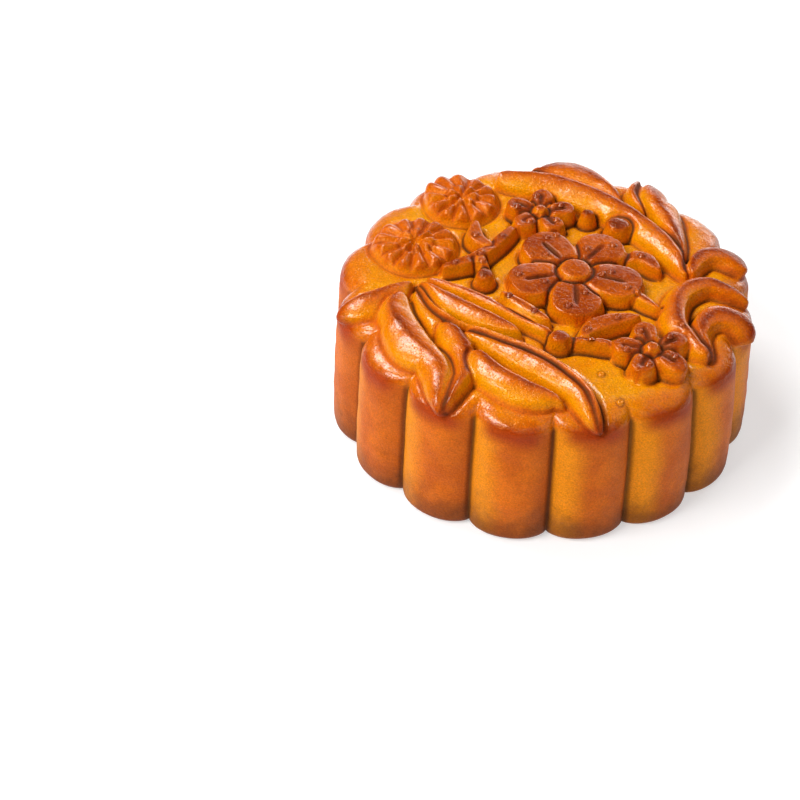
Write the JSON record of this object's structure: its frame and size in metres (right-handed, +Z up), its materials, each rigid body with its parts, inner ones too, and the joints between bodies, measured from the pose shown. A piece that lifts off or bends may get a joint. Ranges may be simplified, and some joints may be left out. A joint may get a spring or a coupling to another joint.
{
  "type": "mooncake",
  "caption": "Round baked mooncake with a fluted, lobed side and a raised blossom and leaf pattern on a glazed golden-brown top.",
  "frame": {"origin": "middle of the flat base, on the surface it rests on", "axes": "+Z up through the patterned top; -Y is the side shown to the viewer"},
  "size_m": [0.0816, 0.0815, 0.0331],
  "materials": {
    "crust": "baked golden-brown crust, egg-glazed and glossy on top, matte on the side"
  },
  "bodies": {
    "root": {"mooncake": "crust"}
  },
  "joints": []
}
